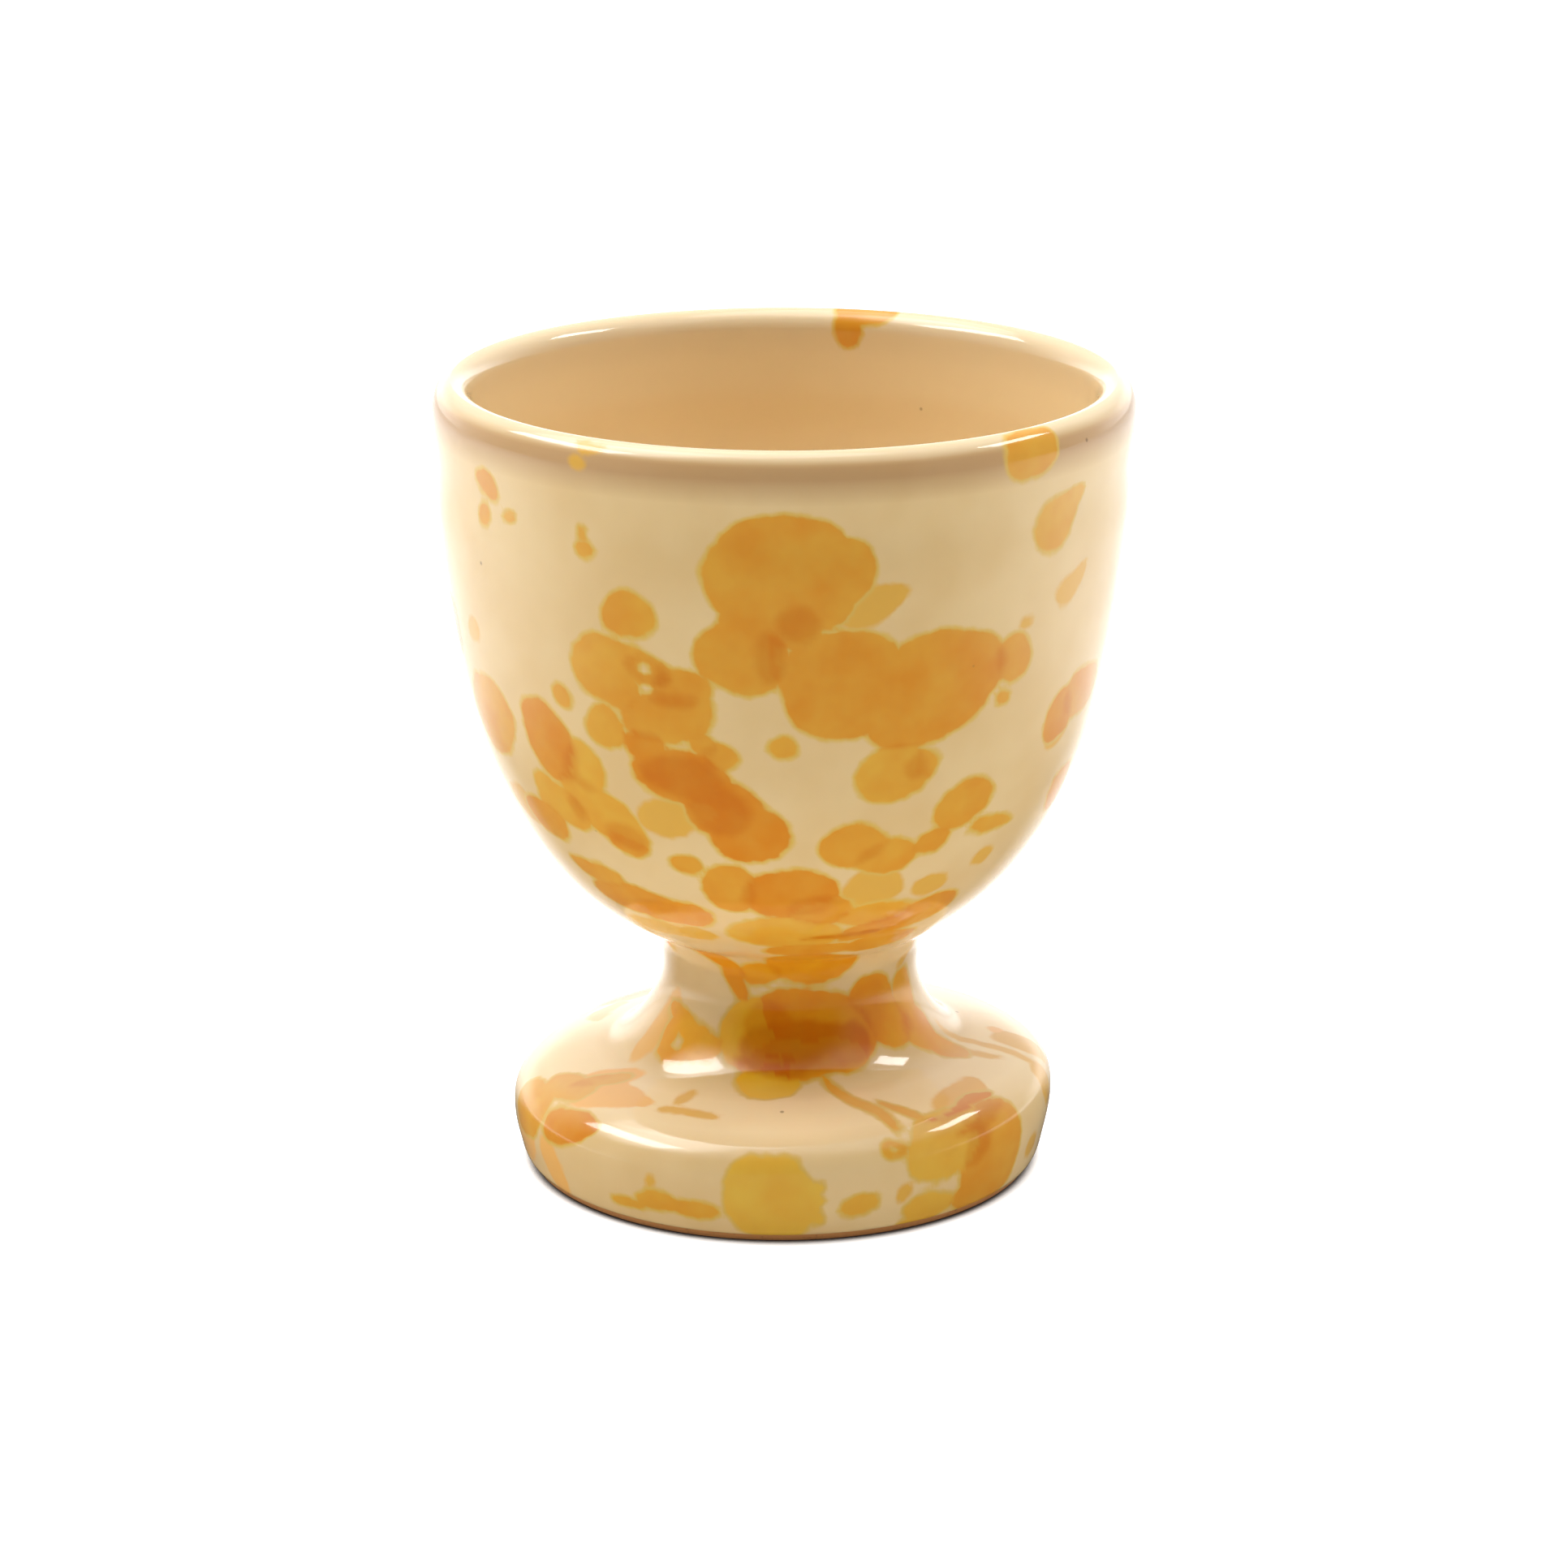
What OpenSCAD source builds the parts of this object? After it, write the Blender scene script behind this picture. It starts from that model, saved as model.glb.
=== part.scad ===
// Egg cup: a thrown clay bowl luted with slip to a turned pedestal, under a coat of cream glaze.
// Millimetres, Z up. The foot stands on z = 0 and the axis is x = y = 0.

/* [Overall] */
// Height from the table to the crest of the lip
cup_h = 58.5; // [54:0.5:70]
// Widest diameter, at the rolled lip
rim_d = 50; // [46:0.5:60]

/* [Lip] */
// Height of the crest above the lip's widest line
lip_out_h = 2.1; // [1.6:0.1:3]
// Width from the lip's widest line in to the crest
lip_out_w = 1.4; // [1.1:0.05:2]
// Height of the crest above the mouth
lip_in_h = 1.6; // [1.2:0.1:2.4]
// Width from the crest in to the mouth
lip_in_w = 1.4; // [1.1:0.05:2]
// How far the lip stands out from the wall under it
bead_w = 0.3; // [0.1:0.05:0.6]
// Height of the lip's underside, where it runs into the wall
bead_h = 3.4; // [2:0.1:5]

/* [Bowl] */
// Slope of the upper wall, in degrees from upright
wall_slope = 5; // [0:0.5:9]
// Slope of the belly where it leaves the seam, in degrees from upright
belly_slope = 66; // [50:1:74]
// Thickness of the clay wall
wall_t = 2.3; // [1.6:0.1:3.2]
// Thickness of the clay floor over the seam
floor_t = 3.8; // [2.5:0.1:6]

/* [Seam] */
// Height of the seam between the bowl and the pedestal
seam_z = 18; // [16:0.5:22]
// Diameter of the crease at the seam
seam_d = 19.2; // [17:0.2:24]
// Thickness of the slip that joins them
slip_t = 0.4; // [0.2:0.1:0.8]

/* [Pedestal] */
// Diameter of the stem at its waist
waist_d = 18.7; // [16:0.1:22]
// Height of the waist
waist_z = 14.8; // [13.6:0.1:15.2]
// Widest diameter of the foot
foot_d = 39.6; // [36:0.2:48]
// Height of the foot's widest line
foot_z = 5; // [3.5:0.1:6]
// Slope of the foot's upper face, in degrees from level
foot_slope = 13; // [8:1:18]
// Diameter where the stem's fillet runs into the foot's upper face
fillet_d = 26.4; // [25:0.2:29]
// Height of the same line
fillet_z = 9; // [8:0.1:10]

/* [Standing ring] */
// Outer diameter of the ring that the cup stands on
ring_d = 36.8; // [33:0.2:38]
// Width of the ring's flat face
ring_w = 3; // [2:0.1:5]
// Depth of the turned hollow inside the ring
hollow_h = 2.4; // [1.2:0.1:3.6]

/* [Glaze] */
// Thickness of the glaze
glaze_t = 0.35; // [0.2:0.05:0.6]

/* [Hidden] */
$fn = 128;

// Steps along each stretch of the outline
liner_steps = 16;
round_steps = 6;
bead_steps = 5;
wall_steps = 22;
stem_steps = 5;
fillet_steps = 9;
shoulder_steps = 14;
edge_steps = 10;

// Share of a quarter round's half-axis that its handles take
round_share = 0.5523;
// Shares of the height from the seam to the bead, and of the widening over it, that the wall's handles take
wall_pull_share = 0.54;
belly_pull_share = 0.81;
// Share of the bead's underside that its handles take
bead_pull_share = 0.4;
// Share of the hollow's depth down which its side is pulled
liner_pull_share = 0.78;
// Shares of the seam's height over the waist that the stem's handles take
stem_top_share = 0.25;
stem_waist_share = 0.38;
// Shares of the waist's height over the foot, and of the fillet's width, that the fillet's handles take
fillet_drop_share = 0.42;
fillet_out_share = 0.4;
// Shares of the foot's rise and width that the shoulder's handles take
shoulder_out_share = 0.55;
shoulder_up_share = 0.71;
// Shares of the foot's lower half that the round under its widest line takes
edge_down_share = 0.6;
edge_in_share = 0.45;
// Share of that round which the glaze covers before it is wiped off
glazed_share = 0.6;
// Share of the turned hollow's depth that its rounded corner is wide
corner_share = 1.1;

// Main lines of the clay, under the glaze
crest = [rim_d / 2 - lip_out_w, cup_h - glaze_t];
widest = [rim_d / 2 - glaze_t, cup_h - lip_out_h];
mouth = [crest[0] - lip_in_w + glaze_t, cup_h - lip_in_h];
neck = widest - [bead_w, bead_h];
seam = [seam_d / 2 - glaze_t, seam_z];
stem_top = seam - [0, slip_t];
waist = [waist_d / 2 - glaze_t, waist_z];
fillet = [fillet_d / 2, fillet_z] - glaze_t * [sin(foot_slope), cos(foot_slope)];
foot = [foot_d / 2 - glaze_t, foot_z];
ring = [ring_d / 2, 0];
ring_in = ring - [ring_w, 0];
liner_floor = [0, seam_z + floor_t];

// Directions that the outline takes at those lines
down = [0, -1];
down_wall = [-sin(wall_slope), -cos(wall_slope)];
up_belly = [sin(belly_slope), cos(belly_slope)];
out_foot = [cos(foot_slope), -sin(foot_slope)];

// Handles of the wall, which the hollow's handles follow
wall_handle = neck + wall_pull_share * (neck[1] - seam[1]) * down_wall;
belly_handle = seam + belly_pull_share * (neck[0] - seam[0]) * up_belly;

// A point at share t of the curve from p[0] to p[3] with the handles p[1] and p[2]
function on_curve(p, t) =
    pow(1 - t, 3) * p[0] + 3 * pow(1 - t, 2) * t * p[1] + 3 * (1 - t) * t * t * p[2] + pow(t, 3) * p[3];

// The points of that curve after its first
function curve(p, steps) = [for (i = [1:steps]) on_curve(p, i / steps)];

// A quarter round from a to b, flat at the end where it is told to be
function flat_to_steep(a, b) =
    [a, a + round_share * [b[0] - a[0], 0], b + round_share * [0, a[1] - b[1]], b];
function steep_to_flat(a, b) =
    [a, a + round_share * [0, b[1] - a[1]], b + round_share * [a[0] - b[0], 0], b];

// The clay's skin in stretches, from the middle of the hollow over the lip and down to the standing ring
liner = concat([liner_floor], curve([
    liner_floor,
    [belly_handle[0] - wall_t, liner_floor[1]],
    [wall_handle[0] - wall_t, mouth[1] - liner_pull_share * (mouth[1] - liner_floor[1])],
    mouth], liner_steps));
lip_in = curve(steep_to_flat(mouth, crest), round_steps);
lip_out = curve(flat_to_steep(crest, widest), round_steps);
bead = curve([
    widest,
    widest + bead_pull_share * bead_h * down,
    neck - bead_pull_share * bead_h * down_wall,
    neck], bead_steps);
wall = curve([neck, wall_handle, belly_handle, seam], wall_steps);
stem = concat([stem_top], curve([
    stem_top,
    stem_top + stem_top_share * (seam[1] - waist[1]) * down,
    waist - stem_waist_share * (seam[1] - waist[1]) * down,
    waist], stem_steps));
stem_fillet = curve([
    waist,
    waist + fillet_drop_share * (waist[1] - fillet[1]) * down,
    fillet - fillet_out_share * (fillet[0] - waist[0]) * out_foot,
    fillet], fillet_steps);
shoulder = curve([
    fillet,
    fillet + shoulder_out_share * (foot[0] - fillet[0]) * out_foot,
    foot - shoulder_up_share * (fillet[1] - foot[1]) * down,
    foot], shoulder_steps);
edge = curve([
    foot,
    foot + edge_down_share * foot[1] * down,
    ring + edge_in_share * [foot[0] - ring[0], 0],
    ring], edge_steps);
glazed_edge = [for (i = [0:round(glazed_share * edge_steps) - 1]) edge[i]];
hollow = curve(steep_to_flat(ring_in, ring_in + hollow_h * [-corner_share, 1]), round_steps);

inner_skin = concat(liner, lip_in);
outer_skin = concat([crest], lip_out, bead, wall, stem, stem_fillet, shoulder, glazed_edge);

// The unit normal of the run from a to b, to its left
function left_of(a, b) = let (d = (b - a) / norm(b - a)) [-d[1], d[0]];

// The shift of a corner between two runs whose normals are m and n
function mitre(m, n) = (m + n) / (1 + m * n);

// Line p moved t to its left, with the given normals at its two ends
function offset_line(p, t, first, last) = [
    for (i = [0:len(p) - 1])
        p[i] + t * (i == 0 ? first
            : i == len(p) - 1 ? last
            : mitre(left_of(p[i - 1], p[i]), left_of(p[i], p[i + 1])))
];

// Line p read from its end
function backwards(p) = [for (i = [len(p) - 1:-1:0]) p[i]];

// The glaze over skin p, as the outline between the skin and its offset
function coat(p, first, last) = concat(p, backwards(offset_line(p, glaze_t, first, last)));

module turned(outline) {
    rotate_extrude() polygon(outline);
}

// The thrown bowl, from its hollow to the flat that is luted to the pedestal
module bowl() {
    color("#c98f62") turned(concat(liner, lip_in, lip_out, bead, wall, [[0, seam_z]]));
}

// The slip between the two flats
module luting_slip() {
    color("#b97a4e") turned([[0, seam[1]], seam, stem_top, [0, stem_top[1]]]);
}

// The turned stem and foot, hollowed inside the ring it stands on
module pedestal() {
    color("#c98f62") turned(concat(
        stem, stem_fillet, shoulder, edge,
        [ring_in], hollow, [[0, hollow_h], [0, stem_top[1]]]));
}

// The glaze in the hollow, up to the crest of the lip
module glaze_lining() {
    color("#ecd0a0") turned(coat(inner_skin, -down, -down));
}

// The glaze outside, from the crest down to the line where the foot is wiped bare
module glaze_coat() {
    last = len(outer_skin) - 1;
    color("#f0dfc0") turned(coat(outer_skin, -down, left_of(outer_skin[last - 1], outer_skin[last])));
}

bowl();
luting_slip();
pedestal();
glaze_lining();
glaze_coat();
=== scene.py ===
"""Egg cup in thrown earthenware, under a cream glaze splashed with amber.

Lengths are in millimetres until a mesh is written. `run` is the way along the skin from the lip's crest:
above 0 down the outside, below 0 down into the hollow. `turn` is the angle round the axis in degrees:
0 at the front, which faces -Y, and 90 at the right, which faces +X.
"""

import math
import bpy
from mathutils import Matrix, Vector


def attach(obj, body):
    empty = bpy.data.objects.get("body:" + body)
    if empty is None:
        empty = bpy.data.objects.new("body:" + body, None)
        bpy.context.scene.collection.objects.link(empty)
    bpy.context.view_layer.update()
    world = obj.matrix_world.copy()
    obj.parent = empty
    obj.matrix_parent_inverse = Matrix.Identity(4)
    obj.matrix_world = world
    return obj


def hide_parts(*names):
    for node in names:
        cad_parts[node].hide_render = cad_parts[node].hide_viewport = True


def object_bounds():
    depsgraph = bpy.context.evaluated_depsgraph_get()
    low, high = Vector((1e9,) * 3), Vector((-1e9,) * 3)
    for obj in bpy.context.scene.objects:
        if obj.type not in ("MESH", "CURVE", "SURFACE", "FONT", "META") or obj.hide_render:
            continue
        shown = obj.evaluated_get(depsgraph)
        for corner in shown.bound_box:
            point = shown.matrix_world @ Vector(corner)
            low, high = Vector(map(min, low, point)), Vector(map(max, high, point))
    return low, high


bl_info = {
    "name": "Egg cup",
    "version": (1, 0, 0),
    "blender": (4, 5, 0),
    "location": "3D View > Sidebar > Egg cup",
    "description": "Dresses the packed egg cup in splashed cream glaze and sets its stage",
    "category": "Object",
}

import bmesh
import bpy
import numpy as np
from bpy.props import FloatProperty, IntProperty, PointerProperty, StringProperty
from mathutils import Euler, Matrix, Vector

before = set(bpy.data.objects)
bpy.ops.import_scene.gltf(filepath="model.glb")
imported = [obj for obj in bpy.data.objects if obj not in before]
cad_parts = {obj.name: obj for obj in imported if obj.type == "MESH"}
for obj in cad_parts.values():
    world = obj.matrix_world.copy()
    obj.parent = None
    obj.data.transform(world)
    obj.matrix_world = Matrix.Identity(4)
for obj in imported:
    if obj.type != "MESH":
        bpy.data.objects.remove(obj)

MM = 0.001
BODY = "root"
BOX_LOW, BOX_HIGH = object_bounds()
CUP_H = round(BOX_HIGH.z / MM, 2)
RIM_D = round(2 * BOX_HIGH.x / MM, 1)

# Sizes that the outline shares with the solids
LIP_OUT = (1.4, 2.1)
LIP_IN = (1.4, 1.6)
BEAD = (0.3, 3.4)
WALL_SLOPE, BELLY_SLOPE = 5, 66
WALL_T, FLOOR_T = 2.3, 3.8
SEAM_Z, SEAM_D, SLIP_T = 18, 19.2, 0.4
WAIST_D, WAIST_Z = 18.7, 14.8
FOOT_D, FOOT_Z, FOOT_SLOPE = 39.6, 5, 13
FILLET_D, FILLET_Z = 26.4, 9
RING_D, RING_W, HOLLOW_H = 36.8, 3, 2.4
GLAZE_T = 0.35

# Shares of the outline's heights and widths that its handles take, as in the solids; the last is the width of the
# rounded corner under the foot, as a share of its depth
ROUND_SHARE = 0.5523
WALL_PULL, BELLY_PULL, BEAD_PULL, HOLLOW_PULL = 0.54, 0.81, 0.4, 0.78
STEM_TOP, STEM_WAIST = 0.25, 0.38
FILLET_DROP, FILLET_OUT = 0.42, 0.4
SHOULDER_OUT, SHOULDER_UP = 0.55, 0.71
EDGE_DOWN, EDGE_IN = 0.6, 0.45
CORNER_WIDE = 1.1

# Length of the outline's steps in the glaze and in the clay, and what they are times in the hollow and at the lip
GLAZE_STEP, CLAY_STEP = 0.36, 0.9
HOLLOW_STEPS, LIP_STEPS = 1.3, 0.6
# The hidden side of the glaze takes every sixth of those points outside, and every third in the hollow
COAT_EVERY, LINING_EVERY = 6, 3
# Least angle between the faces at a sharp edge
SHARP_ANGLE = math.radians(40)

# Height of the lowest glaze, and the way over which it thins out to the bare clay
GLAZE_END_Z = 0.42
GLAZE_TAPER = 1.2
# Radius over which the glaze fills the crease at the seam, and radius in which it has no point of its own there
CREASE_FILL, CREASE_GAP = 0.9, 0.3
# How far inside the solids' box the lip's widest line stays
BOX_MARGIN = 0.004

# The lean that the hand left: how far the axis stands to the right at each height
LEAN_Z = (0, 5, 9, 14, 17.8, 20.4, 27, 36, 47, 54)
LEAN_X = (-0.22, -0.1, 0.1, 0.45, 0.47, 0.04, 0.08, -0.06, -0.06, 0)
# Rise of the foot's upper face to the right, as a slope, and the heights between which it comes and goes
TILT = 0.028
TILT_Z = (0.6, 4.5, 9.5, 14)
# How much wider the hand left the cup at each height, as a share of its radius: narrower at the foot's edge, and
# fuller under the lip
SWELL_Z = (0, 1.4, 4.7, 24, 34, 49, 53)
SWELL = (-0.01, -0.014, 0, 0, 0.013, 0.014, 0)

# Splashes of amber glaze: coats of colour, share of orange in them, and the ovals that join into one splash.
# An oval is (turn, run, half length, half width), then its lean and its taper where it has them: the lean in degrees
# up to the right, and the taper as the share by which it is narrower at its right end and wider at its left.
# 0 coats is a spot that the amber missed, and 0.5 is a thin wash.
SPLASHES = (
    # upper left of the bowl
    (1, 0.4, (-55, 5.3, 1.3, 1)), (1, 0.3, (-56, 7.6, 0.85, 0.75)), (1, 0.3, (-49.5, 7, 0.6, 0.45)),
    (1, 0.2, (-33, 7, 0.45, 0.4)), (1, 0.3, (-32.7, 8.05, 0.8, 0.5)), (0.5, 0.1, (-32, 0.8, 1.2, 0.35)),
    (0.5, 0.2, (-34, 1.9, 0.6, 0.4)),
    # the broad one under the lip at the front, and what laps it
    (1, 0.4, (-0.8, 9.1, 5.15, 3.8), (9.4, 8.9, 2.1, 2.3), (0.3, 6.95, 4.2, 2.05), (4.5, 6.3, 1.6, 1.2),
     (0.5, 11.3, 3.8, 2.2, 20), (6.5, 10.8, 2.3, 1.75, 25), (-5, 12.4, 2.2, 2.2), (-6.3, 14.9, 3.2, 2.8),
     (2.4, 12.4, 1.7, 1.9)),
    (1, 0.7, (2.6, 12.4, 1.6, 1.5)), (1, 0.7, (-1.9, 14.9, 1.3, 2.1)), (0.5, 0.2, (14.4, 11.2, 2.5, 1.25, 18, 0.3)),
    (1, 0.5, (9.6, 17, 4.1, 4.1), (11.5, 15.2, 3.2, 2.2), (25.5, 17.7, 4.6, 4), (31, 16.8, 3.7, 3, 10, 0.2),
     (21, 19.5, 2.9, 2.7)),
    (1, 0.4, (41, 16.5, 1.6, 1.75)), (0.5, 0.1, (43.5, 14.2, 0.6, 0.45)), (1, 0.2, (40, 19.3, 0.6, 0.5)),
    # the lip at the right
    (1, 0.2, (42.2, 2, 2.5, 1.9, 15)), (1, 0.05, (50.3, 6.9, 3.05, 1.5, 33, 0.45)),
    (0.5, 0.1, (54.5, 12.2, 1.95, 0.85, 36, 0.3)),
    # left of the front, below the first
    (1, 0.3, (-25.1, 12.4, 1.95, 1.7)),
    (1, 0.3, (-31, 16.5, 2.35, 2.6), (-28.5, 18, 1.7, 1.4), (-24.6, 15.8, 2.1, 1, -22), (-22, 16.6, 1.6, 1.2)),
    (1, 0.4, (-22.5, 16.3, 2, 1.15, -15)), (0, 0, (-23, 16.2, 0.55, 0.52)), (0, 0, (-22.8, 17.75, 0.6, 0.36)),
    (1, 0.4, (-17, 17.6, 2, 1.75), (-20.8, 19.9, 2.9, 1.75), (-17, 19.4, 2.2, 1.8)),
    (1, 0.5, (-18.5, 18.4, 1.8, 0.8)), (1, 0.3, (-31.6, 21, 1.5, 1.55, 15)), (1, 0.2, (-40, 19.2, 0.75, 0.9, 20)),
    (1, 0.3, (-64, 22.9, 3.5, 3, 12)), (0.5, 0.3, (-64.5, 16.7, 1, 0.9, 20)), (1, 0.7, (-78, 17.3, 2, 2.4, 12)),
    (1, 0.6, (-45.5, 23.2, 2.3, 3.4, 22)), (1, 0.1, (-38.2, 24.6, 1.9, 2, 20)),
    (1, 0.8, (-18.2, 24.2, 3.5, 2.1, -8), (-24.5, 21.9, 1.5, 1.3, -30), (-14, 25.6, 2.4, 1.7, -40),
     (-10.5, 26.9, 2.6, 2.4), (-6.5, 28.7, 2.9, 2.3)),
    (1, 0.6, (-18.2, 24.2, 3.1, 1.8, -8), (-14, 25.6, 1.9, 1.2, -40), (-11.6, 26.9, 2.3, 2.1)),
    (1, 0.4, (-13.5, 21.6, 1, 0.9)), (1, 0.4, (-11, 22.4, 1.3, 1.1)), (0.5, 0.3, (-22, 27.7, 2.3, 1.5)),
    (1, 0.2, (-36, 28.2, 3.9, 2, -40)), (1, 0.5, (-32, 30, 1.8, 1.5)),
    (1, 0.2, (-46.5, 28.3, 2.6, 1.6, -20), (-50, 27.2, 1.3, 1.2)), (1, 0.7, (-43, 28.4, 0.7, 1.2, 30)),
    (1, 0.5, (-54, 30.2, 2.3, 1.7)), (0.5, 0.3, (-62.5, 29.8, 2, 1.4, -20)), (1, 0.3, (-45, 34.3, 2.5, 1.1, -12)),
    (1, 0.5, (-37, 36.5, 3.8, 1.6)), (1, 0.6, (-28, 37.3, 3.2, 1.5)), (0.5, 0.3, (-32, 39.8, 3.5, 1.2)),
    (1, 0.4, (-20, 31.7, 1.1, 0.85)),
    # middle and right of the belly
    (1, 0.3, (0.2, 21.6, 1, 0.78)), (1, 0.1, (19.6, 24, 2.75, 2.2, 20)), (1, 0.3, (24.5, 23.4, 1.3, 1.3)),
    (1, 0.3, (35.2, 27.3, 2.5, 1.85, 38)), (1, 0.4, (29.5, 30.1, 1.5, 0.95, 15)),
    (1, 0.1, (44.3, 29.7, 2.1, 0.65, -5, 0.3)), (0.5, 0.2, (45, 32.6, 1, 0.75, 20)),
    (0.5, 0.4, (32.5, 34.5, 1.5, 1.1)), (1, 0.5, (13, 29.7, 2.3, 1.9)), (1, 0.4, (20, 30.9, 2.3, 1.6)),
    (0.5, 0.3, (19, 34, 2, 2.1)), (1, 0.5, (-11.5, 33.8, 2, 2.4)), (1, 0.8, (1, 34.3, 3.6, 2.6)),
    (1, 0.5, (7.5, 36, 2.4, 1.9)), (1, 0.1, (0, 39, 4, 2.2)),
    (1, 0.5, (8, 42.1, 3.2, 1.5), (29, 41.6, 2.8, 1.6, 8)), (2, 0.5, (16, 39.6, 3.2, 0.45, 4)),
    (1, 0.2, (22, 37, 3, 1.3)), (1, 0.6, (30, 38.2, 4.6, 1.7, 22)), (1, 0.6, (57, 22.2, 1.9, 2)),
    (1, 0.4, (65, 21.2, 3, 1.9)), (0.5, 0.1, (57.5, 23.8, 1.1, 1)), (1, 0.5, (67, 29, 1.6, 1.9)),
    # over the lip at the back
    (1, 0.5, (164.4, -0.2, 2.5, 1.5), (167.5, -2, 1, 1.6)),
    # the stem
    (1, 0.9, (-62, 45.8, 0.28, 1, 25)), (1, 0.7, (-31, 45.9, 2.6, 0.8, -40, 0.2), (-24.5, 48, 1.6, 0.65, -58)),
    (1, 0.5, (-13, 46.9, 1.7, 1.1, 10)), (1, 0.6, (8, 45.6, 3.4, 2.3)),
    (1, 0.6, (40, 49.8, 2.1, 1.8, -20), (44, 51.1, 3, 1.8, -50), (49, 52.4, 2.2, 1.7)),
    (1, 0, (-14, 51.7, 2.9, 2.6)), (1, 0.7, (7, 51.2, 4.6, 2.9), (25, 52.2, 2.6, 2.4), (-2, 53.2, 3, 1.9)),
    (2, 0.3, (6, 52.8, 4.9, 2.3), (22, 52.9, 2.6, 2), (-6, 53.6, 2.8, 1.3)), (1, -0.3, (-6, 55.4, 2.3, 1.4)),
    (1, 0.35, (60, 50.6, 1.3, 2.4, 6), (62, 53.2, 1.7, 2.4, 14), (67, 55.8, 1.3, 1.9, 22)),
    (0.5, 0.4, (79, 58.3, 0.4, 4.2), (71, 57.5, 0.35, 2.4, 20)), (0.5, 0.6, (-62, 53, 1.1, 2.9, -6)),
    (1, 0.25, (-47, 51.9, 2.7, 0.75, -14), (-53, 52.8, 0.8, 1.4), (-35, 53.2, 1.6, 1.1), (-44, 54.1, 2.3, 0.5, 4)),
    (0.5, 0.1, (60, 47.3, 0.9, 0.3, 40)),
    # the foot, right of the front
    (1, 0.3, (21, 58.5, 3.7, 0.5, -64)), (1, 0.3, (29.5, 60.2, 1.9, 0.45, -56)),
    (1, -0.1, (34, 64.2, 2.6, 2.3), (38, 62.6, 3.4, 1.5, 6), (43, 64.5, 2, 2)),
    (1, 0.4, (51, 65.8, 3.35, 3.9), (47, 68.2, 2.6, 1.4, 10), (45, 66, 1.6, 2.6)),
    (0.5, 0.6, (47, 60.6, 3, 1.3, 15)), (1, 0.4, (47, 63, 3.1, 0.9, 14)), (1, 1, (43.5, 61.6, 3.6, 0.6, 7)),
    (1, -0.1, (33.5, 68.3, 2.3, 1), (30.5, 69.3, 1.6, 0.6)), (2, 0, (23.8, 63.3, 0.95, 0.72, -20)),
    (0, 0, (23.8, 63.3, 0.3, 0.2, -20)), (0.5, 0, (26.5, 66.8, 0.8, 0.55, 40)), (1, 0, (16.3, 67.2, 1.4, 0.8, 15)),
    (0.5, 0.2, (88, 61, 1.6, 2.4)), (0.5, 0.2, (78, 63.8, 1.2, 1.7)), (0.5, 0.1, (68, 67.3, 0.9, 0.7)),
    # the foot, at the front and left
    (1, -0.3, (-5.5, 66.2, 2.3, 3.2), (-1, 66.8, 3, 3.2), (4.5, 66.8, 1.3, 1.9), (7.3, 65.4, 0.5, 0.4),
     (7.6, 66.7, 0.5, 0.4), (7.3, 68.2, 0.6, 0.5), (-2.5, 64, 2.1, 0.9)),
    (1, 0.2, (-34.5, 67.9, 1.4, 0.42), (-26.5, 67.2, 1.9, 0.8), (-19, 67.35, 1.9, 0.7, -3)),
    (0.5, 0.1, (-28.5, 65.8, 0.35, 0.5)), (0.5, 0.1, (-29.5, 57.7, 0.4, 1)), (0.5, 0.1, (-25.5, 59.4, 2.3, 0.35)),
    (0.5, 0.8, (-51, 59.6, 4, 1.6, 8, 0.45), (-59, 58.4, 2.7, 1.6, 55, 0.2)),
    (1, 0.2, (-65, 60.8, 2.6, 1.5, 10), (-71, 63.8, 2.8, 2.2)), (1, 0.2, (-60, 58.8, 2.4, 0.9, 50)),
    (1, 0.7, (-53, 63.3, 3, 1.4, 12, 0.35)), (0.5, 0.75, (-72, 66, 2.2, 2.4)),
    (0.5, 0.75, (-57.5, 67.2, 1.3, 2.6, 28)), (0.5, 0.4, (-118, 58.6, 2.4, 0.7)),
)

# Splashes past the sides, which are thrown by chance: how many, the turns and runs between which they fall, how
# much closer they lie up the skin, their least and greatest half length, and the one from which they are doubled
BACK_SPLASHES, BACK_SEED = 104, 11
BACK_TURNS, BACK_RUNS, BACK_CLOSER = (84, 270), (4, 69), 1.4
BACK_SIZES, BACK_DOUBLED = (0.45, 4.8), 2.2
# The turn and the run past which the left of the foot stays nearly bare
BARE_TURN, BARE_RUN = 225, 50

# Depth of a point far outside of a splash, the amber's tone where no splash gives one, and the least radius that a
# wander of the turn is reckoned with
FAR_OUT, PLAIN_TONE, LEAST_RADIUS = -9.0, 0.4, 3
# How a splash's edge wanders: lengths of its long and its fine swells, and the share that the fine ones take
WANDER_LONG, WANDER_FINE, FINE_SHARE = 3.4, 1.0, 0.4
# Depths in a splash over which the wash, the thin edge, the amber and each lap come up, and how deep they fray
WASH_DEPTH, EDGE_DEPTH, AMBER_DEPTH, LAP_DEPTH = (-0.35, 0.15), (-0.42, -0.05), (-0.1, 0.14), (-0.25, 0.6)
FRAYING = 0.07

# What the glaze does along the skin, and where light and shade are painted on it, as the runs where it starts, is
# full, is still full, and ends
# painted light: the foot's upper face, which looks up to the lamps, is painted lighter
LIT_FOOT_TOP = (55, 57.5, 61, 63.5)
# the lip's outer turn, where the glaze breaks thin and the darker cream is partly painted shade
THIN_AND_SHADED = (0.6, 1.6, 2.4, 4.2)
# the lip's crest, where the coats lap and the paler cream is partly a painted sheen
LIP_LAP_AND_SHEEN = (-4.5, -1.5, 0.7, 1.4)
GATHERED = (43.5, 45.5, 55.5, 58)
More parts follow.
